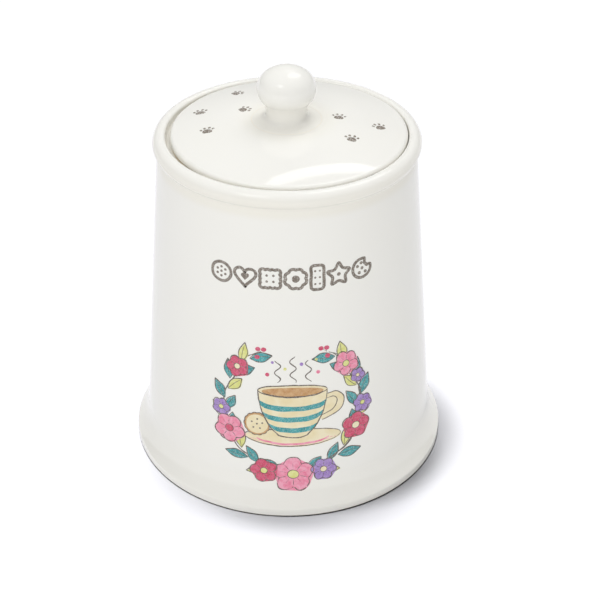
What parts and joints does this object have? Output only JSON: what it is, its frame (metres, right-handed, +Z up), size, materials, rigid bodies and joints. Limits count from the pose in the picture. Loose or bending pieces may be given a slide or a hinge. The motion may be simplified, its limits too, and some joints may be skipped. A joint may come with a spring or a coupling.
{
  "type": "biscuit jar",
  "caption": "Round glazed jar with a tapered body on a flared foot and a domed lid with a ball knob; keeps biscuits dry in a kitchen.",
  "frame": {"origin": "middle of the foot, on the surface the jar stands on", "axes": "+Z up along the jar's axis, -Y towards the decorated front, +X to the right seen from the front"},
  "size_m": [0.155, 0.155, 0.1982],
  "materials": {
    "glazed_body": "glossy cream-white glaze over slip-cast earthenware; the foot ring is bare clay",
    "glazed_lid": "glossy cream-white glaze; the flange's underside is bare clay where it meets the ring",
    "glazed_knob": "glossy cream-white glaze",
    "silicone_seal": "translucent matt silicone"
  },
  "bodies": {
    "jar": {"jar_body": "glazed_body"},
    "seal": {"seal_ring": "silicone_seal"},
    "lid": {"lid": "glazed_lid", "lid_knob": "glazed_knob"}
  },
  "joints": [
    {"name": "lid_lift", "type": "slide", "parent": "jar", "child": "seal", "axis": [0, 0, 1], "range_m": [0, 0.12]},
    {"name": "lid_turn", "type": "hinge", "parent": "seal", "child": "lid", "pos_m": [0.00094, 0.00038, 0.1632], "axis": [0, 0, 1], "continuous": true}
  ]
}
